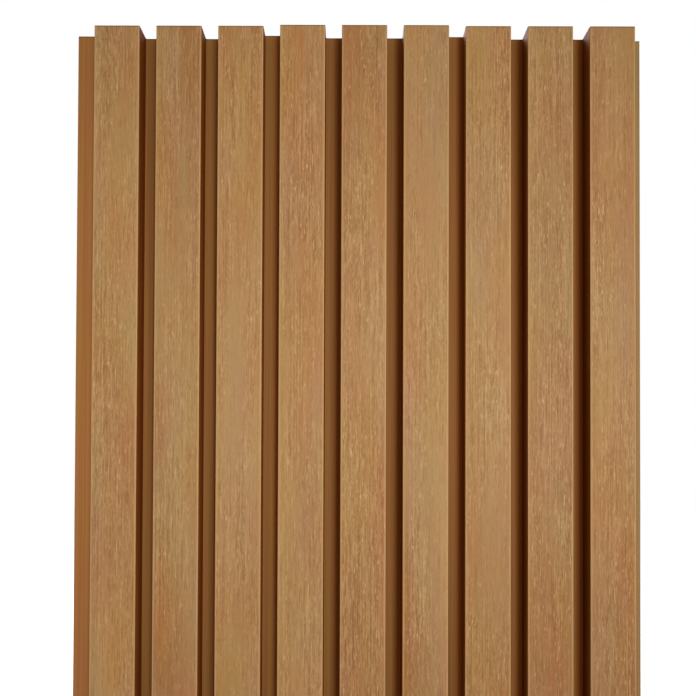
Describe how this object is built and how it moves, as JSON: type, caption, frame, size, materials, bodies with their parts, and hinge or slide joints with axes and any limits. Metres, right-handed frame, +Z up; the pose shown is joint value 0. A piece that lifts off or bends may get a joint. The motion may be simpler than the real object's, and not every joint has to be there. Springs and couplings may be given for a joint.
{
  "type": "slat wall panel",
  "caption": "Fluted wall cladding panel of interlocking hollow composite boards, with flat wood-grained slats, narrow grooves and hidden tongue joints.",
  "frame": {"origin": "on the wall plane at mid height, behind the middle of the centre slat", "axes": "+Z up along the slats, +Y into the wall, +X to the right when facing the slats"},
  "size_m": [0.612, 0.026, 1.0012],
  "materials": {
    "composite": "matt, teak-coloured wood composite with embossed grain on the slat faces and smooth grooves"
  },
  "bodies": {
    "root": {"left_board": "composite", "middle_board": "composite", "right_board": "composite"}
  },
  "joints": []
}
